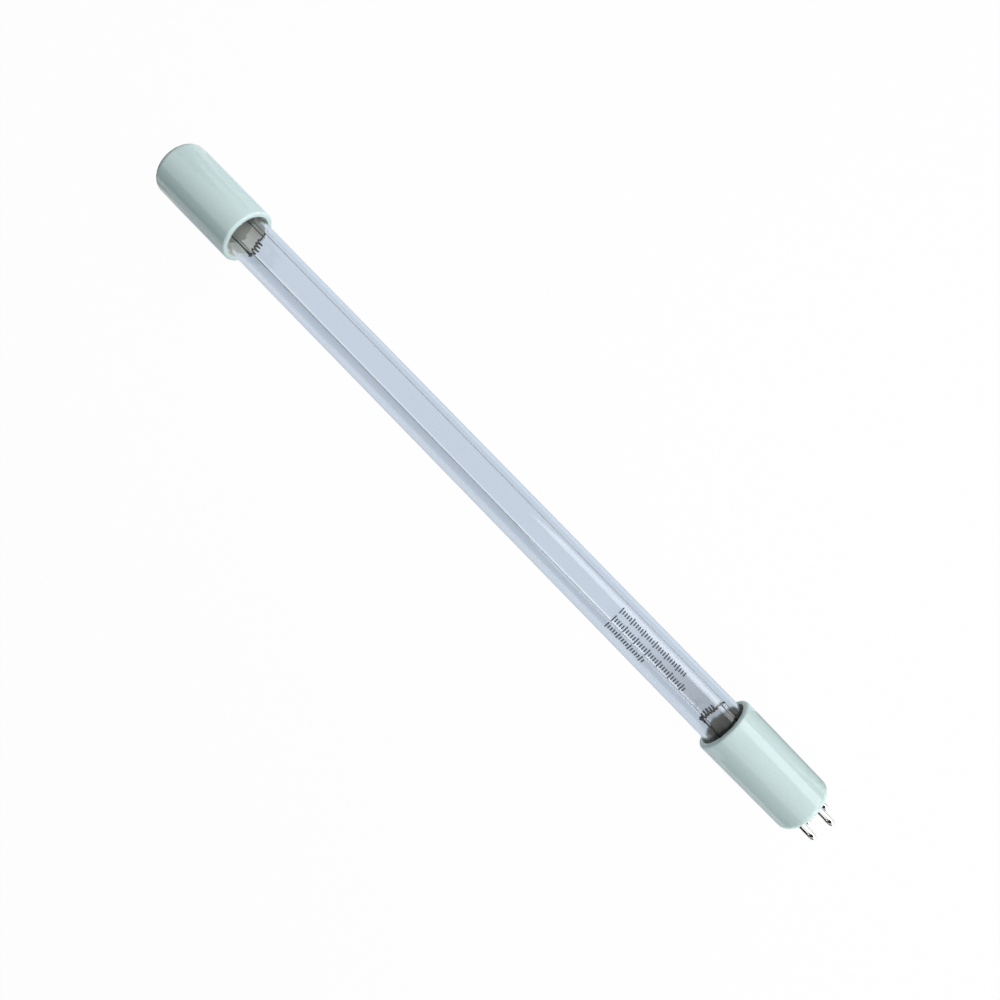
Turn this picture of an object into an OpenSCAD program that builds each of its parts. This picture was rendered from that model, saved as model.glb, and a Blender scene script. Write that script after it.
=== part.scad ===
// Clear quartz germicidal lamp tube with two glazed ceramic caps and all four pins at one end.
// It lies along X on its caps: +X points out of the pins, +Z is up, and the origin is on the
// surface under the middle of the whole length.

/* [Length] */
// Length between the closed faces of the two caps
body_len = 287; // [200:1:600]

/* [Quartz tube] */
// Outer diameter of the tube
tube_d = 15; // [14:0.5:20]
// Wall of the tube
tube_wall = 1; // [0.8:0.1:1.4]
// Length of each flat pinch seal
pinch_len = 10; // [8:0.5:12]
// Thickness of a pinch seal between its side beads
pinch_t = 3.2; // [2.6:0.1:4]
// Width of the glass bead along each side of a pinch
bead_w = 1.4; // [1:0.1:1.8]
// Height of a bead above the flat of the pinch
bead_h = 0.5; // [0.2:0.1:0.8]
// Length in which the round tube closes down to the pinch
shoulder_len = 4; // [3:0.5:5]
// Diameter of the sealed-off exhaust tip
tip_d = 3; // [2:0.1:3.6]
// Length of the exhaust tip beyond its pinch
tip_len = 3; // [2:0.25:4]

/* [Ceramic caps] */
// Length of the base cap, which holds the pins
base_cap_len = 35; // [33:0.5:42]
// Length of the plain cap at the other end
end_cap_len = 34.3; // [32:0.1:42]
// Wall of a cap at its mouth
cap_wall = 1.8; // [1.5:0.1:2.5]
// Free gap all round between the tube and a cap
mouth_gap = 0.7; // [0.6:0.05:1.2]
// Thickness of the base cap's closed end
base_floor_t = 4; // [3:0.25:5]
// Thickness of the end cap's closed end
end_floor_t = 3.5; // [2.5:0.25:5]
// Rounding of the base cap's closed edge
base_round = 2.4; // [1:0.1:2.6]
// Rounding of the end cap's closed edge
end_round = 1.9; // [1:0.1:3]
// Rounding of the outer edge of each mouth
mouth_round = 0.8; // [0.3:0.1:1]
// Rounding of the inner edge of each mouth
bore_round = 0.4; // [0.2:0.05:0.45]
// Rounding where each bore meets its floor
floor_round = 0.6; // [0.3:0.1:0.8]
// How far the base cap's radius draws in from its mouth to its closed end
base_draft = 0.45; // [0.1:0.05:0.8]

/* [Cement] */
// Length of each cement ring
cement_len = 6; // [4:0.5:7]

/* [Pins] */
// Diameter of a pin
pin_d = 2.35; // [2:0.05:2.6]
// How much thicker, on each side, a pin is inside its hole in the cap
root_step = 0.2; // [0.16:0.02:0.24]
// Length of a pin outside the base cap
pin_len = 6.75; // [5:0.25:9]
// Spacing of the pins across the lamp
pin_gap_y = 7; // [6:0.1:7.8]
// Spacing of the pins from top to bottom
pin_gap_z = 9; // [8:0.1:9.6]
// Length of a pin's bullet nose
nose_len = 1.6; // [1:0.1:2.2]
// Diameter of the hollow in a pin
pin_bore_d = 0.9; // [0.8:0.05:1]
// Thickness of the closed tip ahead of that hollow
pin_tip_t = 1.2; // [0.8:0.1:1.5]
// Diameter of the riveted collar behind the cap's floor
collar_d = 3.3; // [3:0.1:3.6]
// Thickness of the riveted collar
collar_t = 0.5; // [0.3:0.1:0.8]
// Distance of the crimp mark from the pin's tip
crimp_from_tip = 2; // [1.8:0.1:2.6]
// Radius of the ball punch that makes the crimp mark
crimp_r = 0.75; // [0.5:0.05:0.8]
// Depth of the crimp mark
crimp_depth = 0.5; // [0.3:0.05:0.5]
// Radius of the small locating mark behind the crimp
nick_r = 0.4; // [0.25:0.05:0.5]
// Depth of the small locating mark
nick_depth = 0.2; // [0.1:0.05:0.25]

/* [Leads and wires] */
// Diameter of the lead wires sealed into the quartz
lead_d = 0.5; // [0.35:0.05:0.6]
// Spacing of the two lead wires of an electrode
lead_gap = 7.4; // [6.6:0.1:8.2]
// Free length between a pinch and the floor of its cap
lead_room = 5.5; // [5:0.25:7]
// Straight length of a lead where it leaves the glass or enters a pin
lead_straight = 0.9; // [0.7:0.1:1.2]
// Radius of the bends in the leads and return wires
lead_bend = 0.8; // [0.6:0.1:1]
// Diameter of the two return wires along the tube
return_d = 0.35; // [0.25:0.05:0.4]
// Angle of each return wire round the tube, from the top
return_angle = 143.75; // [135:0.25:150]
// Length of a return wire's bent end, welded beside the outer lead
weld_leg = 2.6; // [2:0.1:3.5]
// Length of a sealing foil
foil_len = 6.5; // [5:0.25:7]
// Width of a sealing foil
foil_w = 2.4; // [1.6:0.1:2.6]
// Thickness of a sealing foil
foil_t = 0.1; // [0.06:0.02:0.16]
// Length of lead welded over each end of a foil
weld_lap = 1.2; // [0.8:0.1:1.8]

/* [Electrodes] */
// Distance of the base coil in front of the base cap's mouth
base_reach = 5.4; // [3:0.1:10]
// Distance of the end coil in front of the end cap's mouth
end_reach = 4.4; // [3:0.1:10]
// Outer diameter of a coil
coil_d = 2.4; // [2:0.1:3]
// Diameter of the coiled wire
filament_d = 0.42; // [0.3:0.02:0.46]
// Whole turns of the base coil, besides its part turn
base_turns = 4; // [2:1:5]
// Whole turns of the end coil, besides its part turn
end_turns = 3; // [2:1:5]
// Length of the base coil's upper tail, from its lead to the coil
base_upper_tail = 1.74; // [1.4:0.02:2.2]
// Length of the base coil's lower tail, from its lead to the coil
base_lower_tail = 0.9; // [0.86:0.02:1.5]
// Length of the end coil's upper tail, from its lead to the coil
end_upper_tail = 1.65; // [1.4:0.05:2.2]
// Length of the end coil's lower tail, from its lead to the coil
end_lower_tail = 1.45; // [0.9:0.05:1.6]
// Length of tail that stands past the upper lead
upper_stub = 1.3; // [0.9:0.1:1.8]
// Length of tail that stands past the lower lead
lower_stub = 0.75; // [0.6:0.05:1.2]
// Sideways kink in the base coil's upper tail
base_kink = 0.45; // [0.1:0.05:0.6]
// Sideways kink in the end coil's upper tail
end_kink = 0.15; // [0.1:0.05:0.6]
// Length of the folded-back end of a hook lead
hook_len = 1.7; // [1:0.1:2.5]
// Length of the crimped sleeve on the other lead
sleeve_len = 2.3; // [1.6:0.1:3]
// Wall of that sleeve
sleeve_wall = 0.2; // [0.16:0.01:0.24]
// How far each side of the sleeve is pressed flat
sleeve_press = 0.12; // [0.04:0.01:0.12]
// Distance of the sleeve's open end past the coil's tail
sleeve_front = 0.5; // [0.4:0.05:0.7]
// Diameter of the loose drop of mercury
drop_d = 0.9; // [0.5:0.1:1.5]

/* [Fit] */
// Clearance between a piece and the round seat that holds it
skin = 0.03; // [0.02:0.01:0.04]

/* [Hidden] */
$fn = 64;
over = 1;
tube_r = tube_d / 2;
bore_r = tube_r + mouth_gap;
cap_r = bore_r + cap_wall;
axis_z = cap_r;
pin_r = pin_d / 2;
root_r = pin_r + root_step;
lead_y = lead_gap / 2;
pin_y = pin_gap_y / 2;
pin_z = pin_gap_z / 2;

// Stations along X, from the end cap's closed face to the tips of the pins
x_end_face = -(body_len + pin_len) / 2;
x_base_face = x_end_face + body_len;
x_pin_tip = x_base_face + pin_len;
x_end_mouth = x_end_face + end_cap_len;
x_base_mouth = x_base_face - base_cap_len;
x_base_floor = x_base_face - base_floor_t;
x_collar = x_base_floor - collar_t;
x_wire_tip = x_pin_tip - pin_tip_t - lead_d;
x_end_pinch = x_end_face + end_floor_t + lead_room;
x_base_pinch = x_base_floor - lead_room;
x_end_round = x_end_pinch + pinch_len + shoulder_len;
x_base_round = x_base_pinch - pinch_len - shoulder_len;
x_end_coil = x_end_mouth + end_reach;
x_base_coil = x_base_mouth - base_reach;

// An electrode is drawn from its coil's axis, with +X towards its own pinch
base_depth = x_base_pinch - x_base_coil;
end_depth = x_end_coil - x_end_pinch;
foil_margin = (pinch_len - foil_len) / 2;
coil_r = (coil_d - filament_d) / 2;
hook_r = (lead_d + filament_d) / 2 + skin;
coil_start = -asin(hook_r / coil_r);
tail_x = coil_r * cos(coil_start);
tail_straight = lead_d / 2 + filament_d;
tail_bend = filament_d / 2;
coil_step = 24;
sleeve_d = lead_d + 2 * (skin + sleeve_wall);
sleeve_w = sleeve_d - 2 * sleeve_press;

// The return wires lie against the tube, and each starts beside an outer lead
return_r = tube_r + skin + return_d / 2;
return_y = return_r * sin(return_angle);
return_z = return_r * cos(return_angle);
x_outer_leg = x_end_pinch - 2 * lead_straight;
x_return_leg = x_outer_leg + (lead_d + return_d) / 2 + skin;

CERAMIC = [0.87, 0.92, 0.9];
NICKEL = [0.76, 0.76, 0.74];
LEAD_METAL = [0.45, 0.46, 0.46];
TUNGSTEN = [0.2, 0.21, 0.22];

function unit(v) = v / norm(v);
function reversed(list) = [for (i = [len(list) - 1:-1:0]) list[i]];

// Points of an arc about c, from angle a to angle b
function arc(c, r, a, b, n = 8) =
    [for (k = [0:n]) let (t = a + (b - a) * k / n) c + r * [cos(t), sin(t)]];

// Points that round the corner b of the path a-b-c
function bend(a, b, c, r, n = 4) =
    let (u = unit(a - b), w = unit(c - b), half = acos(u * w) / 2, turn = 180 - 2 * half,
        mid = b + unit(u + w) * r / sin(half),
        from = unit(b + u * r / tan(half) - mid), to = unit(b + w * r / tan(half) - mid))
    [for (k = [0:n]) mid + r * (sin((1 - k / n) * turn) * from + sin(k / n * turn) * to) / sin(turn)];

// Path through pts with every inner corner rounded
function bent(pts, r) = let (last = len(pts) - 1)
    [pts[0], for (i = [1:last - 1]) each bend(pts[i - 1], pts[i], pts[i + 1], r), pts[last]];

// Round wire swept along a path, its section carried along without twist
module wire(path, d, sides = 8) {
    last = len(path) - 1;
    dir = [for (i = [0:last]) unit(path[min(i + 1, last)] - path[max(i - 1, 0)])];
    aside = abs(dir[0].x) < 0.9 ? [1, 0, 0] : [0, 0, 1];
    side = [for (i = 0, v = unit(aside - (aside * dir[0]) * dir[0]); i <= last;
        i = i + 1, v = i <= last ? unit(v - (v * dir[i]) * dir[i]) : v) v];
    points = [for (i = [0:last]) for (k = [0:sides - 1]) let (t = 360 * k / sides)
        path[i] + d / 2 * (cos(t) * side[i] + sin(t) * cross(dir[i], side[i]))];
    walls = [for (i = [0:last - 1]) for (k = [0:sides - 1]) let (a = i * sides, n = (k + 1) % sides)
        [a + k, a + sides + k, a + sides + n, a + n]];
    polyhedron(points, [[for (k = [0:sides - 1]) k], each walls, [for (k = [sides - 1:-1:0]) last * sides + k]]);
}

// Cylinder along X between two stations
module rod(x0, x1, d, y = 0, z = 0) {
    translate([x0, y, z]) rotate([0, 90, 0]) cylinder(h = x1 - x0, d = d);
}

module on_axis() { translate([0, 0, axis_z]) children(); }
module at_base() { translate([x_base_coil, 0, axis_z]) children(); }
module at_end() { translate([x_end_coil, 0, axis_z]) mirror([1, 0, 0]) children(); }

// Points up one closing shoulder, from the low pinch to the high round part at x
function shoulder(x, toward, low, high, n = 6) =
    [for (k = [0:n]) [x + toward * shoulder_len * (1 - k / n), low + (high - low) * (1 - cos(90 * k / n))]];

// Side outline of glass or bore: flat ends of length flat, closing shoulders, open middle
function closed_outline(x0, x1, low, high, flat) =
    let (top = [[x0 - shoulder_len - flat, low], each shoulder(x0, -1, low, high),
        each reversed(shoulder(x1, 1, low, high)), [x1 + shoulder_len + flat, low]])
    [each top, for (p = reversed(top)) [p.x, -p.y]];

// Block across the tube with that outline
module jaws(low, inset, flat) {
    rotate([90, 0, 0]) linear_extrude(tube_d + 2 * over, center = true)
        polygon(closed_outline(x_end_round + inset, x_base_round - inset, low, tube_r + over, flat));
}

// Glass beads left along both sides of a pinch, between two stations
module pinch_beads(x0, x1) {
    for (side = [-1, 1])
        translate([(x0 + x1) / 2, side * (tube_r + over - (bead_w + over) / 2), 0])
            cube([x1 - x0, bead_w + over, pinch_t + 2 * bead_h], center = true);
}

// Room in a pinch for the foil and the lead ends of both sides
module seal_pockets(depth) {
    for (side = [-1, 1]) {
        translate([depth - pinch_len / 2, side * lead_y, -(lead_d + foil_t) / 2])
            cube([foil_len, foil_w, foil_t], center = true);
        rod(depth - pinch_len - shoulder_len, depth - pinch_len + foil_margin + weld_lap,
            lead_d + 2 * skin, side * lead_y);
        rod(depth - foil_margin - weld_lap, depth + over, lead_d + 2 * skin, side * lead_y);
    }
}

// One piece of quartz: round tube, two pinch seals and the exhaust tip
module quartz_tube() {
    color([0.8, 0.86, 0.94, 0.45]) difference() {
        on_axis() union() {
            intersection() {
                rod(x_end_pinch, x_base_pinch, tube_d);
                union() {
                    jaws(pinch_t / 2, 0, pinch_len + over);
                    pinch_beads(x_end_pinch - over, x_end_round - shoulder_len / 2);
                    pinch_beads(x_base_round + shoulder_len / 2, x_base_pinch + over);
                }
            }
            rod(x_end_pinch - tip_len + tip_d / 2, x_end_pinch + over, tip_d);
            translate([x_end_pinch - tip_len + tip_d / 2, 0, 0]) sphere(d = tip_d);
        }
        on_axis() intersection() {
            rod(x_end_pinch + pinch_len, x_base_pinch - pinch_len, tube_d - 2 * tube_wall);
            jaws(filament_d / 2, tube_wall, tube_wall / 2);
        }
        at_base() seal_pockets(base_depth);
        at_end() seal_pockets(end_depth);
    }
}

// Cap turned about Z: closed face at the bottom, mouth at the top
module cap_shell(len, floor_t, round_r, draft) {
    rotate_extrude() polygon([[0, 0],
        each arc([cap_r - draft - round_r, round_r], round_r, -90, 0),
        each arc([cap_r - mouth_round, len - mouth_round], mouth_round, 0, 90),
        each arc([bore_r + bore_round, len - bore_round], bore_round, 90, 180),
        each arc([bore_r - floor_round, floor_t + floor_round], floor_round, 0, -90),
        [0, floor_t]]);
}

module base_cap() {
    color(CERAMIC) difference() {
        translate([x_base_face, 0, axis_z]) rotate([0, -90, 0])
            cap_shell(base_cap_len, base_floor_t, base_round, base_draft);
        for (y = [-pin_y, pin_y], z = [-pin_z, pin_z])
            rod(x_base_floor - over, x_base_face + over, 2 * (root_r + skin), y, axis_z + z);
    }
}

module end_cap() {
    color(CERAMIC) translate([x_end_face, 0, axis_z]) rotate([0, 90, 0])
        cap_shell(end_cap_len, end_floor_t, end_round, 0);
}

// Hollow pin with a riveted collar and a closed nose, crimped on the wire inside it
module contact_pin(y, z) {
    len = x_pin_tip - x_collar;
    hollow = len - pin_tip_t;
    color(NICKEL) translate([x_collar, y, axis_z + z]) difference() {
        rotate([0, 90, 0]) rotate_extrude() polygon([
            [pin_bore_d / 2, 0], [collar_d / 2, 0], [collar_d / 2, collar_t], [root_r, collar_t],
            [root_r, len - pin_len], [pin_r, len - pin_len],
            for (t = [0:11.25:90]) [pin_r * cos(t), len - nose_len * (1 - sin(t))],
            [0, hollow], [pin_bore_d / 2, hollow - pin_bore_d / 4]]);
        translate([len - crimp_from_tip, 0, pin_r + crimp_r - crimp_depth]) sphere(crimp_r);
        translate([len - crimp_from_tip - crimp_r - nick_r / 2, 0, pin_r + nick_r - nick_depth])
            sphere(nick_r);
    }
}

// Cement ring between tube and cap, grooved for the two return wires
module cement_ring(x0, x1) {
    color([0.82, 0.8, 0.74]) on_axis() difference() {
        rod(x0, x1, 2 * (bore_r - skin));
        rod(x0 - over, x1 + over, tube_d + 2 * skin);
        for (side = [-1, 1])
            rod(x0 - over, x1 + over, return_d + 2 * skin, side * return_y, return_z);
    }
}
module base_cement() { cement_ring(x_base_round - cement_len, x_base_round); }
module end_cement() { cement_ring(x_end_round, x_end_round + cement_len); }

// Coil between its two tails: the upper one lies in the hook, the lower one in the sleeve
module filament(turns, upper_tail, lower_tail, kink) {
    top = lead_y - upper_tail;
    bottom = lower_tail - lead_y;
    sweep = 180 - coil_start + 360 * turns;
    steps = ceil(sweep / coil_step);
    upper = [[tail_x + kink, lead_y + upper_stub, -hook_r],
        [tail_x, lead_y + tail_straight, -hook_r], [tail_x, lead_y - tail_straight, -hook_r],
        [tail_x - kink / 2, (lead_y + top) / 2, -hook_r]];
    coil = [for (k = [0:steps]) let (a = coil_start + sweep * k / steps)
        [coil_r * cos(a), top + (bottom - top) * k / steps, coil_r * sin(a)]];
    lower = [[0, sleeve_w / 2 + filament_d * 0.75 - lead_y, 0], [0, -lead_y - lower_stub, 0]];
    pts = [each upper, each coil, each lower];
    first = len(upper);
    last = len(pts) - 1;
    path = [pts[0],
        for (i = [1:first]) each bend(pts[i - 1], pts[i], pts[i + 1], tail_bend, 3),
        for (i = [first + 1:first + steps - 1]) pts[i],
        for (i = [first + steps:last - 1]) each bend(pts[i - 1], pts[i], pts[i + 1], tail_bend, 3),
        pts[last]];
    color(TUNGSTEN) wire(path, filament_d, 7);
}
module base_filament() { at_base() filament(base_turns, base_upper_tail, base_lower_tail, base_kink); }
module end_filament() { at_end() filament(end_turns, end_upper_tail, end_lower_tail, end_kink); }

// Lead whose end is folded back as a hook round the coil's upper tail
module hook_lead(depth) {
    color(LEAD_METAL) wire([[depth - pinch_len + foil_margin + weld_lap, lead_y, 0],
        for (t = [0:22.5:180]) [tail_x - hook_r * sin(t), lead_y, hook_r * (cos(t) - 1)],
        [tail_x + hook_len, lead_y, -2 * hook_r]], lead_d);
}
module base_hook_lead() { at_base() hook_lead(base_depth); }
module end_hook_lead() { at_end() hook_lead(end_depth); }

// Straight lead that ends inside the sleeve, just behind the coil's lower tail
module sleeve_lead(depth) {
    color(LEAD_METAL) rod(filament_d / 2 + 2 * skin, depth - pinch_len + foil_margin + weld_lap,
        lead_d, -lead_y);
}
module base_sleeve_lead() { at_base() sleeve_lead(base_depth); }
module end_sleeve_lead() { at_end() sleeve_lead(end_depth); }

// Short tube pressed flat on the lead, with the coil's tail held across it
module lead_sleeve() {
    color(LEAD_METAL) translate([0, -lead_y, 0]) difference() {
        intersection() {
            rod(-sleeve_front, sleeve_len - sleeve_front, sleeve_d);
            translate([-sleeve_front - over, -sleeve_w / 2, -sleeve_d])
                cube([sleeve_len + 2 * over, sleeve_w, 2 * sleeve_d]);
        }
        rod(0, sleeve_len, lead_d + 2 * skin);
        rotate([90, 0, 0]) cylinder(h = 2 * sleeve_d, d = filament_d + 2 * skin, center = true);
    }
}
module base_lead_sleeve() { at_base() lead_sleeve(); }
module end_lead_sleeve() { at_end() lead_sleeve(); }

// Thin foil that carries the current through a pinch, under the ends of both leads
module foil(depth, side) {
    color([0.5, 0.49, 0.47]) translate([depth - pinch_len / 2, side * lead_y, -(lead_d + foil_t) / 2])
        cube([foil_len, foil_w, foil_t], center = true);
}

// Lead from a base foil into an upper pin
module base_outer_lead(side) {
    color(LEAD_METAL) on_axis() wire(bent([
        [x_base_pinch - foil_margin - weld_lap, side * lead_y, 0],
        [x_base_pinch + lead_straight, side * lead_y, 0],
        [x_collar - lead_straight, side * pin_y, pin_z],
        [x_wire_tip, side * pin_y, pin_z]], lead_bend), lead_d);
}

// Lead from an end foil, bent down beside the bent end of a return wire
module end_outer_lead(side) {
    color(LEAD_METAL) on_axis() wire(bent([
        [x_end_pinch + foil_margin + weld_lap, side * lead_y, 0],
        [x_outer_leg, side * lead_y, 0],
        [x_outer_leg, side * return_y, return_z]], lead_bend), lead_d);
}

// Bare wire that brings the far electrode back along the tube to a lower pin
module return_wire(side) {
    run = [0, side * return_y, return_z];
    leg = unit([0, side * lead_y, 0] - run);
    color(NICKEL) on_axis() wire(bent([
        [x_return_leg, 0, 0] + run + weld_leg * leg,
        [x_return_leg, 0, 0] + run,
        [x_base_round + shoulder_len, 0, 0] + run,
        [x_collar - lead_straight, side * pin_y, -pin_z],
        [x_wire_tip, side * pin_y, -pin_z]], lead_bend), return_d);
}

// Drop of mercury that lies loose in the tube
module mercury_drop() {
    color([0.8, 0.8, 0.82])
        translate([x_end_round + cement_len / 2, 0, axis_z - tube_r + tube_wall + drop_d / 2 + skin])
            sphere(d = drop_d);
}

quartz_tube();
base_cap();
end_cap();
contact_pin(pin_y, pin_z);  // contact_pin_1
contact_pin(-pin_y, pin_z);  // contact_pin_2
contact_pin(pin_y, -pin_z);  // contact_pin_3
contact_pin(-pin_y, -pin_z);  // contact_pin_4
base_cement();
end_cement();
base_filament();
end_filament();
base_hook_lead();
end_hook_lead();
base_sleeve_lead();
end_sleeve_lead();
base_lead_sleeve();
end_lead_sleeve();
at_base() foil(base_depth, 1);  // base_foil_1
at_base() foil(base_depth, -1);  // base_foil_2
at_end() foil(end_depth, 1);  // end_foil_1
at_end() foil(end_depth, -1);  // end_foil_2
base_outer_lead(1);  // base_outer_lead_1
base_outer_lead(-1);  // base_outer_lead_2
end_outer_lead(1);  // end_outer_lead_1
end_outer_lead(-1);  // end_outer_lead_2
return_wire(1);  // return_wire_1
return_wire(-1);  // return_wire_2
mercury_drop();
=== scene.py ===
import math

import bmesh
import bpy
from mathutils import Matrix, Vector, noise


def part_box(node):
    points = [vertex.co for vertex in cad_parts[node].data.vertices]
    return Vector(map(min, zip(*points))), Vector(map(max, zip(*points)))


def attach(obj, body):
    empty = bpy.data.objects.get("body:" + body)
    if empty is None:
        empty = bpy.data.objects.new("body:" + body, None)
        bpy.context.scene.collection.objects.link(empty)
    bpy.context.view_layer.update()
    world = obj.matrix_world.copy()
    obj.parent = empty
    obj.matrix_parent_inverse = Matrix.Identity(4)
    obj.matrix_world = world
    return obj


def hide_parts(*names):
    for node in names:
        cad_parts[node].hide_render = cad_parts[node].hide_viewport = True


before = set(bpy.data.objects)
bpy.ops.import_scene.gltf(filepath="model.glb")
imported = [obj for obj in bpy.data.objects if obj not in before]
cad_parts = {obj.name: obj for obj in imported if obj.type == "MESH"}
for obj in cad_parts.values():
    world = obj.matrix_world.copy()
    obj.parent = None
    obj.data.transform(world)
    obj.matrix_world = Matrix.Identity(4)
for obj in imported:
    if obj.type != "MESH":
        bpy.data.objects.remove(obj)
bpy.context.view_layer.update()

scene = bpy.context.scene
mm = 0.001  # in Blender's metres


# Camera
# It looks almost straight down on the lying lamp, turned so that the lamp crosses the picture from
# the plain cap at the upper left to the pins at the lower right.
camera_eye = Vector((26.98, 53.40, 246.07)) * mm
camera_aim = Vector((7.79, -1.10, 10.0)) * mm
camera_roll = math.radians(-115.41)
camera_data = bpy.data.cameras.new("camera")
camera_data.sensor_width = 36
camera_data.lens = 27.5
camera_data.clip_start = 10 * mm
camera = bpy.data.objects.new("camera", camera_data)
scene.collection.objects.link(camera)
camera_turn = (camera_aim - camera_eye).to_track_quat("-Z", "Y").to_matrix().to_4x4()
camera.matrix_world = Matrix.Translation(camera_eye) @ camera_turn @ Matrix.Rotation(camera_roll, 4, "Z")
scene.camera = camera
scene.view_settings.view_transform = "Standard"


# Floor and backdrop
# White studio paper under and all round the lamp. What looks straight at it, or through glass, or by a
# reflection, sees nearly even white; the rest of it is plain lit paper, which keeps the lamp's shadow.
paper_hex = "F4F5F6"
paper_evenness = 0.97
floor_size = 4000 * mm


def linear(hex_colour):
    """Turns an sRGB hex colour into linear RGBA."""
    parts = [int(hex_colour[i:i + 2], 16) / 255 for i in (0, 2, 4)]
    return [c / 12.92 if c <= 0.04045 else ((c + 0.055) / 1.055) ** 2.4 for c in parts] + [1.0]


def add_node(tree, kind, inputs=(), **settings):
    """Adds a node with its settings; an input takes a plain value or the socket that feeds it.
    Inputs that share a name go by number. A Mix node has its share at 0, plain values at 2 and 3, and
    colours at 6 and 7."""
    made = tree.nodes.new(kind)
    for name, value in settings.items():
        setattr(made, name, value)
    for name, value in dict(inputs).items():
        if isinstance(value, bpy.types.NodeSocket):
            tree.links.new(value, made.inputs[name])
        else:
            made.inputs[name].default_value = value
    return made


def new_material(name):
    """A material with an empty node tree."""
    made = bpy.data.materials.new(name)
    made.use_nodes = True
    made.node_tree.nodes.clear()
    return made, made.node_tree


def seen_directly(tree):
    """Is 1 for a ray that comes from the camera with no matt surface on its way, and 0 for other rays."""
    path = add_node(tree, "ShaderNodeLightPath").outputs
    seen = path["Is Camera Ray"]
    for kind in ("Is Glossy Ray", "Is Transmission Ray"):
        either = add_node(tree, "ShaderNodeMath", {0: seen, 1: path[kind]}, operation="ADD", use_clamp=True)
        seen = either.outputs[0]
    direct = add_node(tree, "ShaderNodeMath", {0: seen, 1: path["Diffuse Depth"]}, operation="SUBTRACT",
                      use_clamp=True)
    return direct.outputs[0]


paper, tree = new_material("matt white studio paper")
lit = add_node(tree, "ShaderNodeBsdfDiffuse", {"Color": linear(paper_hex)})
even = add_node(tree, "ShaderNodeEmission", {"Color": (1, 1, 1, 1), "Strength": 1.0})
share = add_node(tree, "ShaderNodeMath", {0: seen_directly(tree), 1: paper_evenness}, operation="MULTIPLY")
both = add_node(tree, "ShaderNodeMixShader", {0: share.outputs[0], 1: lit.outputs[0], 2: even.outputs[0]})
add_node(tree, "ShaderNodeOutputMaterial", {"Surface": both.outputs[0]})

floor_shape = bmesh.new()
bmesh.ops.create_grid(floor_shape, x_segments=1, y_segments=1, size=floor_size / 2)
floor_mesh = bpy.data.meshes.new("floor")
floor_shape.to_mesh(floor_mesh)
floor_shape.free()
floor_mesh.materials.append(paper)
floor = bpy.data.objects.new("floor", floor_mesh)
scene.collection.objects.link(floor)


# Light
# A dim cool room with seven soft boxes. The long one and the corner one are mirrored in the lamp, and the
# others only light it, three of them through grids. Black flags, and a glowing pale card with painted shadow
# and painted light on it, which the camera never sees itself, give glass, glaze and pins their edges and the
# tube its cool body.
room_hex = "DDECF4"
room_glow = 0.18
world = bpy.data.worlds.new("studio")
world.use_nodes = True
scene.world = world
tree = world.node_tree
tree.nodes.clear()
seen = seen_directly(tree)
level = add_node(tree, "ShaderNodeMix", {0: seen, 2: room_glow, 3: 1.0})
tint = add_node(tree, "ShaderNodeMix", {0: seen, 6: linear(room_hex), 7: (1, 1, 1, 1)}, data_type="RGBA")
backdrop = add_node(tree, "ShaderNodeBackground", {"Color": tint.outputs[2], "Strength": level.outputs[0]})
add_node(tree, "ShaderNodeOutputWorld", {"Surface": backdrop.outputs[0]})


def soft_box(name, centre, aim, width, height, glow, mirrored=True, spread=180):
    """An area light, in mm; glow 1 is as bright as the white backdrop, and a grid narrows its spread."""
    half = math.radians(spread) / 2
    lamp = bpy.data.lights.new(name, "AREA")
    lamp.shape = "RECTANGLE"
    lamp.size = width * mm
    lamp.size_y = height * mm
    lamp.spread = 2 * half
    lamp.energy = glow * (1 - half / math.tan(half)) * math.pi * width * height * mm * mm
    box = bpy.data.objects.new(name, lamp)
    turn = (Vector(aim) - Vector(centre)).to_track_quat("-Z", "Y").to_matrix().to_4x4()
    box.matrix_world = Matrix.Translation(Vector(centre) * mm) @ turn
    box.visible_glossy = mirrored
    box.visible_transmission = mirrored
    scene.collection.objects.link(box)


# The long box stands off the lamp's near side, and the corner box past its pins.
soft_box("long_box", (280, 385, 205), (90, 0, 10), 590, 250, 2.3)
soft_box("corner_box", (640, 60, 200), (140, 0, 10), 420, 200, 2.0)
# The key box lights the whole lamp, and each of the others the part that it is named for.
soft_box("key_box", (500, 120, 600), (0, 0, 10), 420, 420, 4.0, mirrored=False)
soft_box("base_box", (330, -180, 420), (125, 0, 10), 200, 200, 6.4, mirrored=False, spread=40)
soft_box("far_side_box", (-300, -480, 110), (-100, 0, 10), 700, 200, 0.8, mirrored=False)
soft_box("end_box", (-120, 390, 170), (-120, 0, 10), 360, 260, 2.7, mirrored=False, spread=60)
soft_box("mouth_box", (330, 300, 260), (-122, 0, 10), 160, 160, 21.0, mirrored=False, spread=30)

flag_hex = "141516"
black_velvet, tree = new_material("black velvet")
pile = add_node(tree, "ShaderNodeBsdfDiffuse", {"Color": linear(flag_hex)})
add_node(tree, "ShaderNodeOutputMaterial", {"Surface": pile.outputs[0]})
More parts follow.
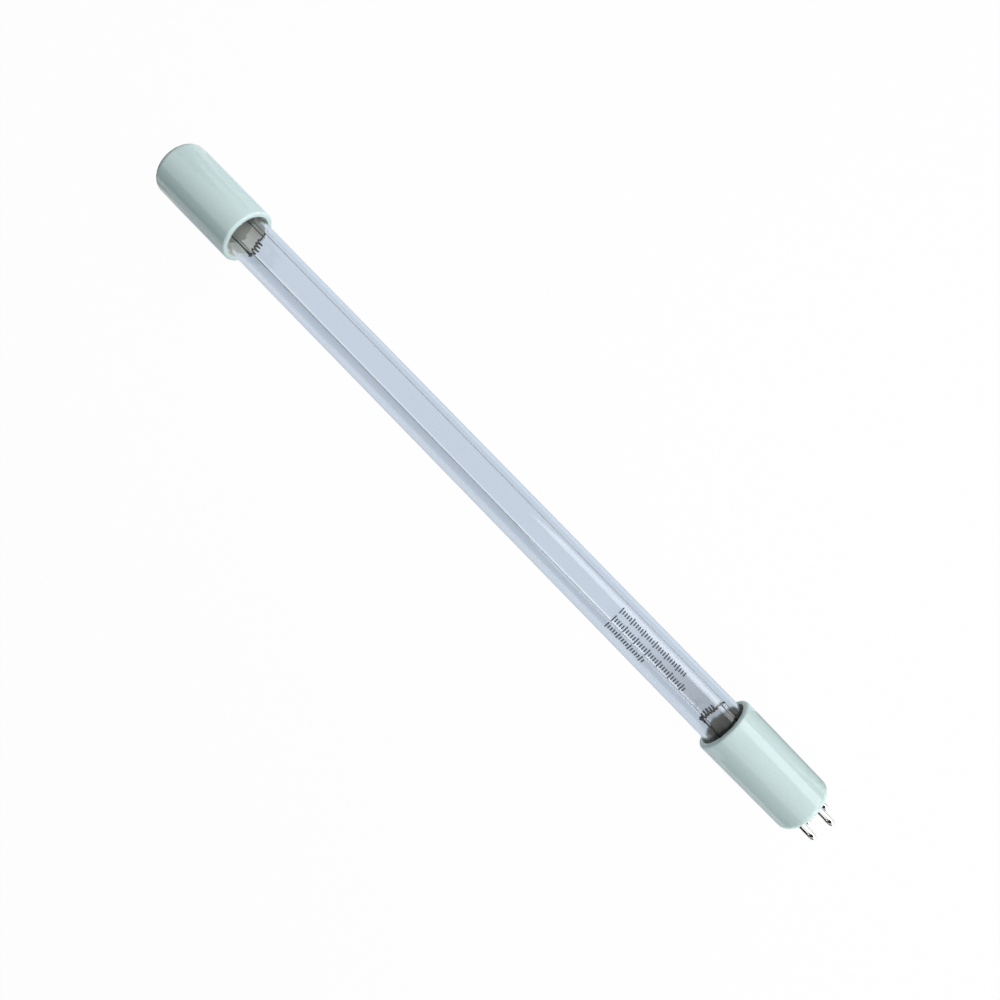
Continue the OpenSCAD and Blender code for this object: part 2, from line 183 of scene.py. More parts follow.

# The card lies under the tube and shows only through it. It glows, and its tones are painted shadow and
# painted light: the long shadow that the tube would throw to its far side, a thin painted line of gathered
# light along that shadow's edge, and a lighter near side, each tone from its y in mm. A painted soft shadow
# of the base cap lies over its base end.
card_hex = "D0D9E4"
card_shadow_hex = "BAC3CE"
card_deep_shadow_hex = "B2BBC6"
card_painted_light_hex = "E6EEF6"
card_lit_side_hex = "DAE4EF"
card_tones = ((-10.5, card_hex), (-7.0, card_shadow_hex), (-5.7, card_deep_shadow_hex), (-5.35, card_painted_light_hex),
              (-4.9, card_painted_light_hex), (-4.6, card_hex), (7.0, card_hex), (9.5, card_lit_side_hex))
cap_shade = 0.62
cap_shade_from = 62 * mm
cap_shade_to = 98 * mm
cap_shade_y = -2.2 * mm
cap_shade_half = 3.2 * mm
cap_shade_blur = 0.48 * mm
glowing_card, tree = new_material("glowing card with painted shadows")
place = add_node(tree, "ShaderNodeTexCoord").outputs["Object"]
spot = add_node(tree, "ShaderNodeSeparateXYZ", {"Vector": place}).outputs
first_y, last_y = card_tones[0][0] * mm, card_tones[-1][0] * mm
share = add_node(tree, "ShaderNodeMapRange", {"Value": spot["Y"], "From Min": first_y, "From Max": last_y})
tones = add_node(tree, "ShaderNodeValToRGB", {"Fac": share.outputs["Result"]})
stops = tones.color_ramp.elements
stops.remove(stops[1])
for number, (y_mm, hex_colour) in enumerate(card_tones):
    stop = stops.new((y_mm * mm - first_y) / (last_y - first_y)) if number else stops[0]
    stop.color = linear(hex_colour)
# The base cap's painted soft shadow: it fades in along x and is darkest round cap_shade_y.
near_cap = add_node(tree, "ShaderNodeMapRange", {"Value": spot["X"], "From Min": cap_shade_from,
                                                 "From Max": cap_shade_to}, interpolation_type="SMOOTHSTEP")
aside = add_node(tree, "ShaderNodeMath", {0: spot["Y"], 1: cap_shade_y}, operation="SUBTRACT")
aside = add_node(tree, "ShaderNodeMath", {0: aside.outputs[0]}, operation="ABSOLUTE")
under = add_node(tree, "ShaderNodeMapRange", {
    "Value": aside.outputs[0], "From Min": cap_shade_half + cap_shade_blur,
    "From Max": cap_shade_half - cap_shade_blur})
shade = add_node(tree, "ShaderNodeMath", {0: near_cap.outputs["Result"], 1: under.outputs["Result"]},
                 operation="MULTIPLY")
light = add_node(tree, "ShaderNodeMapRange", {"Value": shade.outputs[0], "To Min": 1.0, "To Max": cap_shade})
glow = add_node(tree, "ShaderNodeEmission", {"Color": tones.outputs["Color"],
                                             "Strength": light.outputs["Result"]})
add_node(tree, "ShaderNodeOutputMaterial", {"Surface": glow.outputs[0]})


def flag(name, corner, along, up, material=black_velvet, behind_glass=False):
    """A flag or card that the camera never sees itself, from one corner along two sides, in mm."""
    sheet = bmesh.new()
    corners = [Vector(corner), Vector(corner) + Vector(along)]
    corners += [corners[1] + Vector(up), corners[0] + Vector(up)]
    sheet.faces.new([sheet.verts.new(place * mm) for place in corners])
    mesh = bpy.data.meshes.new(name)
    sheet.to_mesh(mesh)
    sheet.free()
    mesh.materials.append(material)
    stand = bpy.data.objects.new(name, mesh)
    stand.visible_camera = False
    stand.visible_diffuse = False
    stand.visible_transmission = behind_glass
    stand.visible_shadow = False
    scene.collection.objects.link(stand)


# Upright flags stand along both sides, past the end cap and beside the pins, and mats lie by the caps.
flag("side_flag", (-700, -300, 100), (1400, 0, 0), (0, 0, 390))
flag("end_flag", (-420, -300, 2), (0, 700, 0), (0, 0, 300))
flag("low_flag", (-700, 170, 2), (1400, 0, 0), (0, 0, 26))
flag("end_side_flag", (-700, -300, 60), (520, 0, 0), (0, 0, 40))
flag("end_mat", (-420, -60, 1), (250, 0, 0), (0, 180, 0))
flag("base_mat", (112, 9, 1), (35, 0, 0), (0, 60, 0))
flag("pin_flag", (135, -70, 1), (220, 0, 0), (0, 0, 70))
flag("low_pin_flag", (155, 60, 1), (200, 0, 0), (0, 0, 14))
# The glowing card carries painted shadow and painted light, and shows only through the tube.
flag("lamp_card", (-150, -38, 0.2), (300, 0, 0), (0, 76, 0), glowing_card, behind_glass=True)


# Quartz tube
# Clear fused quartz, drawn as tube, with both ends heated and pinched flat over the foils. The pinches
# end in a blunt edge, and the far one keeps the sealed-off stub that the air was pumped out through.
tube_wall = 1.0 * mm
pinch_len = 10 * mm
pinch_half = 1.6 * mm
pinch_edge = 0.3 * mm
bead_width = 1.4 * mm
bead_slope = 0.84 * mm
bead_rise = 0.5 * mm
shoulder_len = 4 * mm
shoulder_clear = 1 * mm
tip_r = 1.5 * mm
tip_len = 3 * mm
tip_fillet = 0.3 * mm
tip_outline = ((0.3, 1.0), (1.5, 1.0), (2.3, 0.84), (2.7, 0.6), (2.94, 0.28))  # mm out, share of tip_r
slit_half = 0.21 * mm
tube_sides = 160
shoulder_steps = 10
merge_gap = 1e-7  # points this close are one point
no_size = 1e-8  # an edge this short has no length
tube_low, tube_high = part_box("quartz_tube")
tube_r = (tube_high.y - tube_low.y) / 2
bore_r = tube_r - tube_wall
axis_z = (tube_high.z + tube_low.z) / 2
end_pinch_x = tube_low.x + tip_len
base_pinch_x = tube_high.x
end_round_x = end_pinch_x + pinch_len + shoulder_len
base_round_x = base_pinch_x - pinch_len - shoulder_len


def ring_at(shape, x, radius, sides):
    """A ring of vertices round the lamp's axis, as the open start of a tube."""
    made = bmesh.ops.create_circle(shape, cap_ends=False, segments=sides, radius=radius)["verts"]
    bmesh.ops.rotate(shape, verts=made, matrix=Matrix.Rotation(math.pi / 2, 3, "Y"))
    bmesh.ops.translate(shape, verts=made, vec=(x, 0, axis_z))
    shape.edges.index_update()
    return sorted({e for v in made for e in v.link_edges}, key=lambda e: e.index)


def grow(shape, edges, x, fit):
    """Extrudes the open ring to x, and fits each of its points by fit(y, z) about the axis."""
    made = bmesh.ops.extrude_edge_only(shape, edges=edges)["geom"]
    for vert in [g for g in made if isinstance(g, bmesh.types.BMVert)]:
        y, z = fit(vert.co.y, vert.co.z - axis_z)
        vert.co = (x, y, z + axis_z)
    return [g for g in made if isinstance(g, bmesh.types.BMEdge)]


def rounded(radius):
    """Fits a point to a circle about the axis."""
    def fit(y, z):
        reach = radius / math.hypot(y, z)
        return y * reach, z * reach
    return fit


def pressed(radius, flat, rise, inset=0.0):
    """Fits a point to a circle that is pressed flat top and bottom, with a bead left along each side."""
    def fit(y, z):
        angle = math.atan2(z, y)
        wide = radius - inset
        side, height = wide * math.cos(angle), wide * math.sin(angle)
        foot = radius - bead_width - bead_slope
        bead = rise * min(1.0, max(0.0, (abs(side) - foot) / bead_slope))
        limit = flat - inset + bead
        return side, max(-limit, min(limit, height))
    return fit


def shoulder_height(share, low, high):
    """Half height of the closing tube, from low at the pinch to high where the tube is round."""
    return low + (high - low) * (1 - math.cos(math.pi / 2 * share))


def tube_skin(shape, end_x, base_x, radius, flat, rise, straight):
    """One skin of the tube, from its round middle to both pressed ends; returns the two open rings."""
    start = ring_at(shape, (end_x + base_x) / 2, radius, tube_sides)
    rings = []
    for toward, round_x in ((-1, end_x), (1, base_x)):
        edges = grow(shape, start, round_x, rounded(radius))
        for step in range(1, shoulder_steps + 1):
            share = step / shoulder_steps
            height = shoulder_height(1 - share, flat, radius + shoulder_clear)
            x = round_x + toward * shoulder_len * share
            edges = grow(shape, edges, x, pressed(radius, height, rise * share))
        if straight:
            x = round_x + toward * (shoulder_len + straight)
            edges = grow(shape, edges, x, pressed(radius, flat, rise))
        rings.append(edges)
    return rings


def finished(name, shape, material, slot, *nodes, sharp=40):
    """Makes a bmesh a smooth-shaded piece that rides on the lamp and stands for CAD nodes."""
    mesh = bpy.data.meshes.new(name)
    shape.to_mesh(mesh)
    shape.free()
    mesh.materials.append(material)
    mesh.shade_smooth()
    mesh.set_sharp_from_angle(angle=math.radians(sharp))
    piece = bpy.data.objects.new(name, mesh)
    scene.collection.objects.link(piece)
    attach(piece, "root")
    if nodes:
        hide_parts(*nodes)
    return piece


# Fused quartz is water-clear, with a breath of blue in this lamp's. The drawing leaves long, very shallow
# ridges along it.
quartz_hex = "F4F7FA"
quartz_ior = 1.458
ridge_width = 1.6 * mm
ridge_run = 400 * mm
ridge_height = 0.02 * mm
quartz, tree = new_material("drawn fused quartz")
place = add_node(tree, "ShaderNodeTexCoord").outputs["Object"]
along = add_node(tree, "ShaderNodeMapping", {
    "Vector": place, "Scale": (1 / ridge_run, 1 / ridge_width, 1 / ridge_width)})
ridges = add_node(tree, "ShaderNodeTexNoise", {"Vector": along.outputs[0], "Scale": 1.0, "Detail": 1.0})
relief = add_node(tree, "ShaderNodeBump", {
    "Height": ridges.outputs[0], "Strength": 0.008, "Distance": ridge_height})
glass = add_node(tree, "ShaderNodeBsdfPrincipled", {
    "Base Color": linear(quartz_hex), "Roughness": 0.0, "IOR": quartz_ior, "Transmission Weight": 1.0,
    "Normal": relief.outputs[0]})
add_node(tree, "ShaderNodeOutputMaterial", {"Surface": glass.outputs[0]})

shape = bmesh.new()
end_ring, base_ring = tube_skin(shape, end_round_x, base_round_x, tube_r, pinch_half, bead_rise,
                                pinch_len - pinch_edge)
end_ring = grow(shape, end_ring, end_pinch_x, pressed(tube_r, pinch_half, bead_rise, pinch_edge))
end_ring = grow(shape, end_ring, end_pinch_x, rounded(tip_r + tip_fillet))
for out_mm, share in tip_outline:
    end_ring = grow(shape, end_ring, end_pinch_x - out_mm * mm, rounded(tip_r * share))
base_ring = grow(shape, base_ring, base_pinch_x, pressed(tube_r, pinch_half, bead_rise, pinch_edge))
for ring in (end_ring, base_ring):
    bmesh.ops.contextual_create(shape, geom=ring)
bmesh.ops.recalc_face_normals(shape, faces=shape.faces)
outside = set(shape.faces)
for ring in tube_skin(shape, end_round_x + tube_wall, base_round_x - tube_wall, bore_r, slit_half, 0, 0):
    bmesh.ops.contextual_create(shape, geom=ring)
inside = [face for face in shape.faces if face not in outside]
bmesh.ops.recalc_face_normals(shape, faces=inside)
bmesh.ops.reverse_faces(shape, faces=inside)
bmesh.ops.remove_doubles(shape, verts=shape.verts, dist=merge_gap)
bmesh.ops.dissolve_degenerate(shape, dist=no_size, edges=shape.edges)
tube = finished("drawn_quartz_tube", shape, quartz, "quartz", "quartz_tube", sharp=50)
tube.visible_shadow = False


# Ink marks
# Three rows of plain ticks, stamped on the quartz near the base cap in dark heat-proof ink and fired. The
# ink is a thin matt film, a little uneven where it dried.
ink_hex = "33373D"
ink_thin_hex = "50555D"
drying_size = 0.4 * mm
ink_film = 0.02 * mm
ink_gap = 0.01 * mm
tick_width = 0.42 * mm
tick_pitch = 0.95 * mm
tick_long = 2.4 * mm
tick_short = 1.5 * mm
ticks_each_long = 5
tick_steps = 6
ink_start = 58.3 * mm
ink_rows = ((28.2, 27.5 * mm), (2.5, 30.0 * mm), (-21.3, 15.5 * mm))  # degrees from the top, length
fired_ink, tree = new_material("fired marking ink")
place = add_node(tree, "ShaderNodeTexCoord").outputs["Object"]
drying = add_node(tree, "ShaderNodeTexNoise", {"Vector": place, "Scale": 1 / drying_size, "Detail": 3.0})
colour = add_node(tree, "ShaderNodeMix", {0: drying.outputs[0], 6: linear(ink_hex), 7: linear(ink_thin_hex)},
                  data_type="RGBA")
film = add_node(tree, "ShaderNodeBsdfPrincipled", {"Base Color": colour.outputs[2], "Roughness": 0.6})
add_node(tree, "ShaderNodeOutputMaterial", {"Surface": film.outputs[0]})

shape = bmesh.new()
for row_angle, row_length in ink_rows:
    for number in range(int(row_length / tick_pitch) + 1):
        length = tick_short if number % ticks_each_long else tick_long
        made = bmesh.ops.create_grid(shape, x_segments=1, y_segments=tick_steps, size=0.5)["verts"]
        for vert in made:
            angle = math.radians(row_angle) + vert.co.y * length / tube_r
            out = tube_r + ink_gap + ink_film
            x = ink_start + number * tick_pitch + vert.co.x * tick_width
            vert.co = (x, out * math.sin(angle), axis_z + out * math.cos(angle))
bmesh.ops.recalc_face_normals(shape, faces=shape.faces)
bmesh.ops.solidify(shape, geom=shape.faces[:], thickness=ink_film)
finished("ink_ticks", shape, fired_ink, None)


# Caps
# Pressed steatite caps, dipped in a white glaze and fired: a cool greenish white with a wet gloss, fine
# specks, and a faint unevenness that bends the edges of reflections. The bore stays bare, and in the base
# cap it is painted a dull olive, as painted shade.
glaze_hex = "CBDEDC"
speck_hex = "BCCFCD"
bare_hex = "E2E5DB"
base_bore_shade_hex = "A8A998"
speck_size = 0.45 * mm
wave_size = 7.0 * mm
wave_height = 0.12 * mm
cap_gap = 0.7 * mm
cap_bore_r = tube_r + cap_gap
glaze_lap = 0.25 * mm
face_glaze = 1 * mm
steatite, tree = new_material("white glazed steatite")
place = add_node(tree, "ShaderNodeTexCoord").outputs["Object"]
specks = add_node(tree, "ShaderNodeTexNoise", {"Vector": place, "Scale": 1 / speck_size, "Detail": 3.0,
                                               "Roughness": 0.6})
cloud = add_node(tree, "ShaderNodeMapRange", {"Value": specks.outputs[0], "From Min": 0.52, "From Max": 0.75,
                                              "To Min": 0.0, "To Max": 0.6}).outputs["Result"]
colour = add_node(tree, "ShaderNodeMix", {0: cloud, 6: linear(glaze_hex), 7: linear(speck_hex)},
                  data_type="RGBA")
# The steatite is bare close to the lamp's axis, but not on the closed faces.
centred = add_node(tree, "ShaderNodeMapping", {"Vector": place, "Location": (0, 0, -axis_z),
                                               "Scale": (0, 1, 1)}).outputs[0]
reach = add_node(tree, "ShaderNodeVectorMath", {0: centred}, operation="LENGTH").outputs["Value"]
within = add_node(tree, "ShaderNodeMapRange", {"Value": reach, "From Min": cap_bore_r + glaze_lap,
                                               "From Max": cap_bore_r}).outputs["Result"]
spot = add_node(tree, "ShaderNodeSeparateXYZ", {"Vector": place}).outputs
end_face_x, base_face_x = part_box("end_cap")[0].x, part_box("base_cap")[1].x
behind_face = add_node(tree, "ShaderNodeMath", {
    0: spot["X"], 1: (base_face_x + end_face_x) / 2, 2: (base_face_x - end_face_x) / 2 - face_glaze},
    operation="COMPARE").outputs[0]
bare = add_node(tree, "ShaderNodeMath", {0: within, 1: behind_face}, operation="MULTIPLY").outputs[0]
# Past the lamp's middle, in the base cap, the bare bore is painted a dull olive as painted shade.
base_shade_mask = add_node(tree, "ShaderNodeMath", {0: spot["X"], 1: 0.0}, operation="GREATER_THAN").outputs[0]
bore = add_node(tree, "ShaderNodeMix", {0: base_shade_mask, 6: linear(bare_hex), 7: linear(base_bore_shade_hex)},
                data_type="RGBA")
skin = add_node(tree, "ShaderNodeMix", {0: bare, 6: colour.outputs[2], 7: bore.outputs[2]}, data_type="RGBA")
gloss = add_node(tree, "ShaderNodeMapRange", {"Value": bare, "To Min": 0.06, "To Max": 0.8})
waves = add_node(tree, "ShaderNodeTexNoise", {"Vector": place, "Scale": 1 / wave_size, "Detail": 1.0})
relief = add_node(tree, "ShaderNodeBump", {
    "Height": waves.outputs[0], "Strength": 0.3, "Distance": wave_height})
glaze = add_node(tree, "ShaderNodeBsdfPrincipled", {
    "Base Color": skin.outputs[2], "Roughness": gloss.outputs["Result"], "IOR": 1.52,
    "Normal": relief.outputs[0]})
add_node(tree, "ShaderNodeOutputMaterial", {"Surface": glaze.outputs[0]})


def dress(node, material):
    """Gives a CAD node its finish."""
    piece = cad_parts[node]
    if not piece.material_slots:
        piece.data.materials.append(material)
    for material_slot in piece.material_slots:
        material_slot.material = material


for node in ("base_cap", "end_cap"):
    dress(node, steatite)


# Contact pins
# Hollow brass pins, turned, nickel plated and riveted through the cap's floor. A punched crimp near each
# nose grips the wire inside. Bright plating, with faint turning lines; the crimp and a smaller nick behind
# it are painted black, as painted shade where they are punched in.
plate_hex = "ECECEA"
crimp_shade_hex = "17120F"
turning_pitch = 0.12 * mm
turning_run = 50 * mm
turning_depth = 0.01 * mm
crimp_from_tip = 2.0 * mm
nick_from_tip = 2.95 * mm
crimp_floor = 0.675 * mm
nick_floor = 0.975 * mm
crimp_shade_r = 0.6 * mm
nick_shade_r = 0.25 * mm
crimp_shade_depth = 1.0
nick_shade_depth = 0.6
shade_blur = 0.1
pin_gap_y = 7.0 * mm
pin_gap_z = 9.0 * mm
fold_below = 2 * mm
fold_x = 1000 * mm
pin_tip_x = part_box("contact_pin_1")[1].x
lower_z = axis_z - pin_gap_z / 2
upper_z = axis_z + pin_gap_z / 2
crimp_bottom = (pin_tip_x - crimp_from_tip, pin_gap_y / 2, lower_z + crimp_floor)
nick_bottom = (pin_tip_x - nick_from_tip, pin_gap_y / 2, lower_z + nick_floor)
nickel_plate, tree = new_material("nickel-plated brass")
place = add_node(tree, "ShaderNodeTexCoord").outputs["Object"]
across = add_node(tree, "ShaderNodeMapping", {
    "Vector": place, "Scale": (1 / turning_pitch, 1 / turning_run, 1 / turning_run)})
lines = add_node(tree, "ShaderNodeTexNoise", {"Vector": across.outputs[0], "Scale": 1.0, "Detail": 2.0})
relief = add_node(tree, "ShaderNodeBump", {
    "Height": lines.outputs[0], "Strength": 0.1, "Distance": turning_depth})
# All four pins are folded on to one, so that one ball marks every crimp and one every nick. Nothing is
# folded along X, because fold_x lies past both ends of the lamp.
one_pin = add_node(tree, "ShaderNodeVectorMath", {
    0: place, 1: (fold_x, pin_gap_y, upper_z - fold_below), 2: (-fold_x, 0, lower_z - fold_below)},
    operation="WRAP")
punched = []
# Each ball paints black shade over one punched mark, with a soft rim.
for bottom, radius, depth in ((crimp_bottom, crimp_shade_r, crimp_shade_depth), (nick_bottom, nick_shade_r, nick_shade_depth)):
    away = add_node(tree, "ShaderNodeVectorMath", {0: one_pin.outputs[0], 1: bottom}, operation="DISTANCE")
    punched.append(add_node(tree, "ShaderNodeMapRange", {
        "Value": away.outputs["Value"], "From Min": (1 + shade_blur) * radius,
        "From Max": (1 - shade_blur) * radius, "To Min": 0.0, "To Max": depth}).outputs["Result"])
black = add_node(tree, "ShaderNodeMath", {0: punched[0], 1: punched[1]}, operation="MAXIMUM").outputs[0]
colour = add_node(tree, "ShaderNodeMix", {0: black, 6: linear(plate_hex), 7: linear(crimp_shade_hex)},
                  data_type="RGBA")
bright = add_node(tree, "ShaderNodeMath", {0: 1.0, 1: black}, operation="SUBTRACT").outputs[0]
wear = add_node(tree, "ShaderNodeMapRange", {"Value": lines.outputs[0], "To Min": 0.08, "To Max": 0.2})
dull = add_node(tree, "ShaderNodeMix", {0: black, 2: wear.outputs["Result"], 3: 0.7})
plate = add_node(tree, "ShaderNodeBsdfPrincipled", {
    "Base Color": colour.outputs[2], "Metallic": bright, "Roughness": dull.outputs[0],
    "Normal": relief.outputs[0]})
add_node(tree, "ShaderNodeOutputMaterial", {"Surface": plate.outputs[0]})
for number in (1, 2, 3, 4):
    dress(f"contact_pin_{number}", nickel_plate)


# Cement rings
# Basing cement, packed between tube and cap as a paste and baked hard. It is matt, a dull greenish beige,
# and gritty, with darker pits.
cement_hex = "C6C6B9"
pit_hex = "9D9D90"
grit_size = 0.35 * mm
grit_height = 0.1 * mm
basing_cement, tree = new_material("baked basing cement")
place = add_node(tree, "ShaderNodeTexCoord").outputs["Object"]
grit = add_node(tree, "ShaderNodeTexNoise", {"Vector": place, "Scale": 1 / grit_size, "Detail": 5.0,
                                             "Roughness": 0.7})
colour = add_node(tree, "ShaderNodeMix", {0: grit.outputs[0], 6: linear(pit_hex), 7: linear(cement_hex)},
                  data_type="RGBA")
relief = add_node(tree, "ShaderNodeBump", {
    "Height": grit.outputs[0], "Strength": 0.8, "Distance": grit_height})
paste = add_node(tree, "ShaderNodeBsdfPrincipled", {
    "Base Color": colour.outputs[2], "Roughness": 0.92, "Normal": relief.outputs[0]})
add_node(tree, "ShaderNodeOutputMaterial", {"Surface": paste.outputs[0]})
for node in ("base_cement", "end_cement"):
    dress(node, basing_cement)


# Sealing foils
# Molybdenum foil, rolled so thin that the quartz grips it airtight, and welded under the ends of the leads
# inside each pinch. The rolling leaves it satin grey with fine lines along it.
foil_hex = "8E8C86"
rolling_run = 5 * mm
rolling_pitch = mm / 12
sealing_foil, tree = new_material("rolled molybdenum foil")
place = add_node(tree, "ShaderNodeTexCoord").outputs["Object"]
along = add_node(tree, "ShaderNodeMapping", {
    "Vector": place, "Scale": (1 / rolling_run, 1 / rolling_pitch, 1 / rolling_run)})
rolling = add_node(tree, "ShaderNodeTexNoise", {"Vector": along.outputs[0], "Scale": 1.0, "Detail": 2.0})
wear = add_node(tree, "ShaderNodeMapRange", {"Value": rolling.outputs[0], "To Min": 0.25, "To Max": 0.5})
sheet = add_node(tree, "ShaderNodeBsdfPrincipled", {
    "Base Color": linear(foil_hex), "Metallic": 1.0, "Roughness": wear.outputs["Result"]})
add_node(tree, "ShaderNodeOutputMaterial", {"Surface": sheet.outputs[0]})
for end in ("base", "end"):
    for number in (1, 2):
        dress(f"{end}_foil_{number}", sealing_foil)


# Lead wires and sleeves
# Drawn molybdenum wire, darkened by the heat of sealing. One lead of each pair is folded back as a hook
# round the coil's tail, and the other carries a short sleeve that is squeezed on to it.
lead_hex = "2E3233"
oxide_hex = "15191A"
oxide_size = 0.8 * mm
flat_angle = math.radians(5)
lead_metal, tree = new_material("heat-darkened molybdenum wire")
place = add_node(tree, "ShaderNodeTexCoord").outputs["Object"]
oxide = add_node(tree, "ShaderNodeTexNoise", {"Vector": place, "Scale": 1 / oxide_size, "Detail": 4.0})
colour = add_node(tree, "ShaderNodeMix", {0: oxide.outputs[0], 6: linear(lead_hex), 7: linear(oxide_hex)},
                  data_type="RGBA")
wear = add_node(tree, "ShaderNodeMapRange", {"Value": oxide.outputs[0], "To Min": 0.4, "To Max": 0.7})
wire = add_node(tree, "ShaderNodeBsdfPrincipled", {
    "Base Color": colour.outputs[2], "Metallic": 0.5, "Roughness": wear.outputs["Result"]})
add_node(tree, "ShaderNodeOutputMaterial", {"Surface": wire.outputs[0]})


def round_wire(node, material, slot):
    """A round, smooth copy of a faceted CAD wire, which it stands for."""
    shape = bmesh.new()
    shape.from_mesh(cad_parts[node].data)
    bmesh.ops.remove_doubles(shape, verts=shape.verts, dist=merge_gap)
    bmesh.ops.join_triangles(shape, faces=shape.faces, angle_face_threshold=flat_angle,
                             angle_shape_threshold=math.pi)
    piece = finished("smooth_" + node, shape, material, slot, node, sharp=180)
    finer = piece.modifiers.new("finer", "SUBSURF")
    finer.levels = 1
    finer.render_levels = 1


for end in ("base", "end"):
    round_wire(f"{end}_hook_lead", lead_metal, "lead_metal")
    for number in (1, 2):
        round_wire(f"{end}_outer_lead_{number}", lead_metal, "lead_metal")
    dress(f"{end}_sleeve_lead", lead_metal)
    dress(f"{end}_lead_sleeve", lead_metal)


# Coils
# Each electrode is a tungsten wire wound into a fine spring and that spring wound into the coil, then
# dipped in emitter paste: nearly black, rough, with grey where the paste is thin.
coil_outer = 2.4 * mm
spring_outer = 0.62 * mm
spring_wire = 0.15 * mm
paste_fill = 0.5 * mm
spring_pitch = 0.165 * mm
spring_points = 10
lead_y = 3.7 * mm
hook_r = 0.49 * mm
upper_stub = 1.3 * mm
tail_straight = 0.67 * mm
sleeve_side = 0.685 * mm
lower_stub = 0.75 * mm
turn_points = 30
softenings = 60
base_reach = 5.4 * mm
end_reach = 4.4 * mm
tungsten_hex = "0E1112"
emitter_hex = "2C3030"
crust_size = 0.5 * mm
tungsten, tree = new_material("emitter-coated tungsten")
place = add_node(tree, "ShaderNodeTexCoord").outputs["Object"]
crust = add_node(tree, "ShaderNodeTexNoise", {"Vector": place, "Scale": 1 / crust_size, "Detail": 4.0})
spots = add_node(tree, "ShaderNodeMapRange", {"Value": crust.outputs[0], "From Min": 0.5, "From Max": 0.8})
colour = add_node(tree, "ShaderNodeMix", {0: spots.outputs["Result"], 6: linear(tungsten_hex),
                                          7: linear(emitter_hex)}, data_type="RGBA")
coat = add_node(tree, "ShaderNodeBsdfPrincipled", {"Base Color": colour.outputs[2], "Roughness": 0.75})
add_node(tree, "ShaderNodeOutputMaterial", {"Surface": coat.outputs[0]})


def coil_line(turns, upper_tail, lower_tail, kink):
    """The spring's own centre line: out of the hook, round the coil, and into the sleeve.
    X runs from the coil's axis towards its own pinch."""
    coil_r = (coil_outer - spring_outer) / 2
    start = -math.asin(hook_r / coil_r)
    tail_x = coil_r * math.cos(start)
    top = lead_y - upper_tail
    bottom = lower_tail - lead_y
    sweep = math.pi - start + 2 * math.pi * turns
    line = [Vector((tail_x + kink, lead_y + upper_stub, -hook_r)),
            Vector((tail_x, lead_y + tail_straight, -hook_r)),
            Vector((tail_x, lead_y - tail_straight, -hook_r)),
            Vector((tail_x - kink / 2, (lead_y + top) / 2, -hook_r))]
    steps = round(turn_points * sweep / (2 * math.pi))
    for step in range(steps + 1):
        angle = start + sweep * step / steps
        y = top + (bottom - top) * step / steps
        line.append(Vector((coil_r * math.cos(angle), y, coil_r * math.sin(angle))))
    line.append(Vector((0, sleeve_side - lead_y, 0)))
    line.append(Vector((0, -lead_y - lower_stub, 0)))
    return line


def even_steps(line, gap):
    """Points a given gap apart along a line, with its corners softened."""
    points, left = [line[0].copy()], gap
    for a, b in zip(line, line[1:]):
        span = (b - a).length
        while left <= span:
            points.append(a.lerp(b, left / span))
            left += gap
        left -= span
    for _ in range(softenings):
        points = ([points[0]] + [(a + 2 * b + c) / 4 for a, b, c in zip(points, points[1:], points[2:])]
                  + [points[-1]])
    return points


def wound(points):
    """The fine spring's wire, wound round the spring's centre line."""
    radius = (spring_outer - spring_wire) / 2
    side = Vector((0, 0, 1))
    wire = []
    for number, (a, b) in enumerate(zip(points, points[1:])):
        ahead = (b - a).normalized()
        side = (side - side.dot(ahead) * ahead).normalized()
        angle = 2 * math.pi * number / spring_points
        wire.append(a + radius * (math.cos(angle) * side + math.sin(angle) * ahead.cross(side)))
    return wire


def wire_mesh(name, points, thickness, roundness):
    """A round wire along points, as a closed mesh."""
    line = bpy.data.curves.new(name, "CURVE")
    line.dimensions = "3D"
    line.bevel_depth = thickness / 2
    line.bevel_resolution = roundness
    line.use_fill_caps = True
    spline = line.splines.new("POLY")
    spline.points.add(len(points) - 1)
    for point, place in zip(spline.points, points):
        point.co = (*place, 1)
    holder = bpy.data.objects.new(name, line)
    scene.collection.objects.link(holder)
    bpy.context.view_layer.update()
    mesh = bpy.data.meshes.new_from_object(holder.evaluated_get(bpy.context.evaluated_depsgraph_get()))
    bpy.data.objects.remove(holder)
    shape = bmesh.new()
    shape.from_mesh(mesh)
    bpy.data.meshes.remove(mesh)
    bmesh.ops.remove_doubles(shape, verts=shape.verts, dist=no_size)
    bmesh.ops.recalc_face_normals(shape, faces=shape.faces)
    return shape


base_coil_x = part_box("base_cap")[0].x - base_reach
end_coil_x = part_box("end_cap")[1].x + end_reach
base_line = coil_line(turns=4, upper_tail=1.74 * mm, lower_tail=0.9 * mm, kink=0.45 * mm)
end_line = coil_line(turns=3, upper_tail=1.65 * mm, lower_tail=1.45 * mm, kink=0.15 * mm)
for end, coil_x, toward, line in (("base", base_coil_x, 1, base_line), ("end", end_coil_x, -1, end_line)):
    centre_line = even_steps(line, spring_pitch / spring_points)
    for part, points, thickness, roundness in (("wound_coil", wound(centre_line), spring_wire, 1),
                                               ("coil_paste", centre_line[::spring_points], paste_fill, 2)):
        placed = [Vector((coil_x + toward * p.x, p.y, axis_z + p.z)) for p in points]
        shape = wire_mesh("spring", placed, thickness, roundness)
        finished(f"{end}_{part}", shape, tungsten, "tungsten", f"{end}_filament", sharp=180)

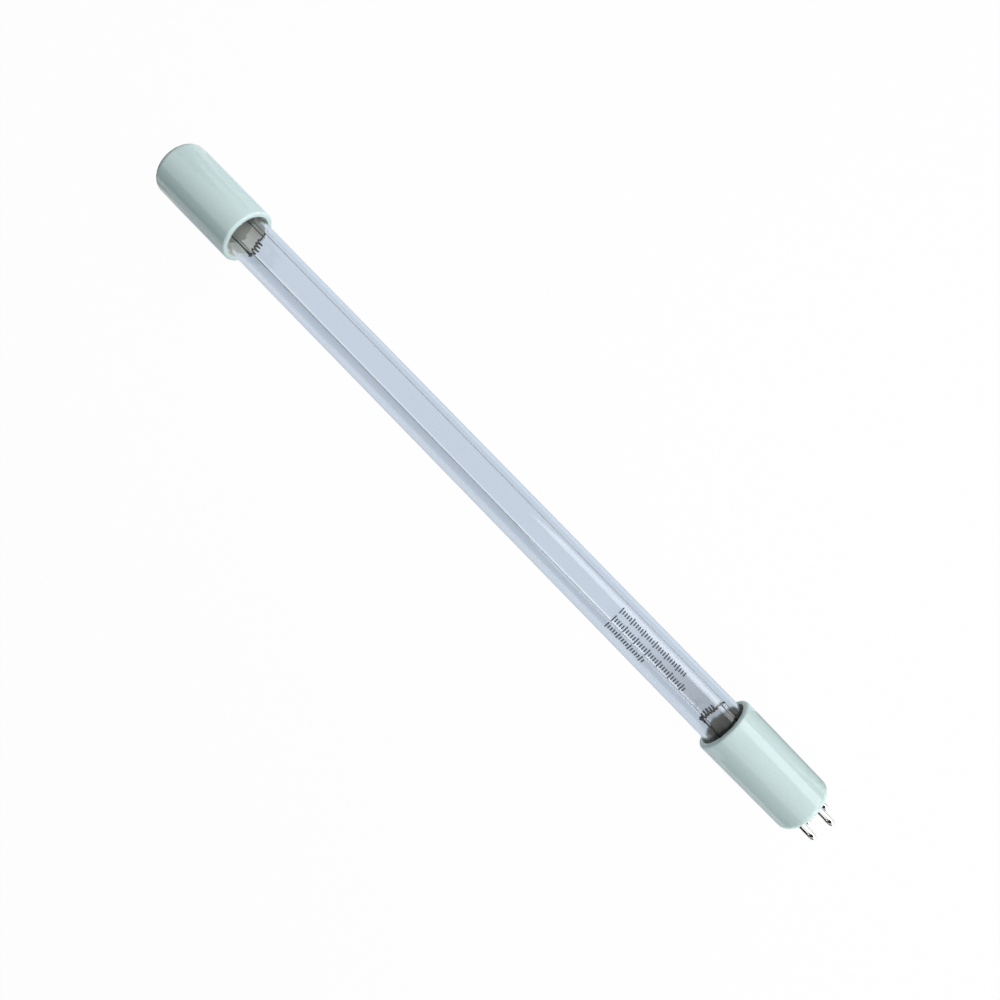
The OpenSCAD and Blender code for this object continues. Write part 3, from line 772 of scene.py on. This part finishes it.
# A lump of paste and weld metal closes the mouth of the base sleeve over the coil's tail.
lump_r = 0.68 * mm
lump_unevenness = 0.16
lump_bumps = 0.5 * mm
lump_inwards = 0.2 * mm
lump_outwards = 0.05 * mm
lump_place = Vector((base_coil_x + lump_inwards, -lead_y - lump_outwards, axis_z))
shape = bmesh.new()
bmesh.ops.create_icosphere(shape, subdivisions=4, radius=lump_r)
for vert in shape.verts:
    vert.co *= 1 + lump_unevenness * noise.noise(vert.co / lump_bumps)
bmesh.ops.translate(shape, verts=shape.verts, vec=lump_place)
finished("base_weld_lump", shape, tungsten, "tungsten", sharp=180)


# Return wires
# Two bare nickel wires that lie against the outside of the tube, from the far pinch to the lower pins. They
# are drawn through a die, which leaves them satin, with duller streaks along them.
wire_hex = "B9B8B2"
wire_dull_hex = "8A8A86"
streak_width = 0.25 * mm
streak_run = 5 * mm
nickel_wire, tree = new_material("bare drawn nickel wire")
place = add_node(tree, "ShaderNodeTexCoord").outputs["Object"]
along = add_node(tree, "ShaderNodeMapping", {
    "Vector": place, "Scale": (1 / streak_run, 1 / streak_width, 1 / streak_width)})
dull = add_node(tree, "ShaderNodeTexNoise", {"Vector": along.outputs[0], "Scale": 1.0, "Detail": 3.0})
colour = add_node(tree, "ShaderNodeMix", {0: dull.outputs[0], 6: linear(wire_hex), 7: linear(wire_dull_hex)},
                  data_type="RGBA")
drawn = add_node(tree, "ShaderNodeBsdfPrincipled", {
    "Base Color": colour.outputs[2], "Metallic": 1.0, "Roughness": 0.32})
add_node(tree, "ShaderNodeOutputMaterial", {"Surface": drawn.outputs[0]})
for number in (1, 2):
    round_wire(f"return_wire_{number}", nickel_wire, "return_wire")


# Mercury
# One drop of liquid metal, loose in the tube, whose vapour carries the discharge. It is round because it
# wets nothing, and a faint skin dulls its mirror.
mercury_hex = "E4E4E8"
skin_size = mm / 3
mercury, tree = new_material("liquid mercury")
place = add_node(tree, "ShaderNodeTexCoord").outputs["Object"]
skin = add_node(tree, "ShaderNodeTexNoise", {"Vector": place, "Scale": 1 / skin_size, "Detail": 2.0})
wear = add_node(tree, "ShaderNodeMapRange", {"Value": skin.outputs[0], "To Min": 0.02, "To Max": 0.12})
drop = add_node(tree, "ShaderNodeBsdfPrincipled", {
    "Base Color": linear(mercury_hex), "Metallic": 1.0, "Roughness": wear.outputs["Result"]})
add_node(tree, "ShaderNodeOutputMaterial", {"Surface": drop.outputs[0]})
dress("mercury_drop", mercury)
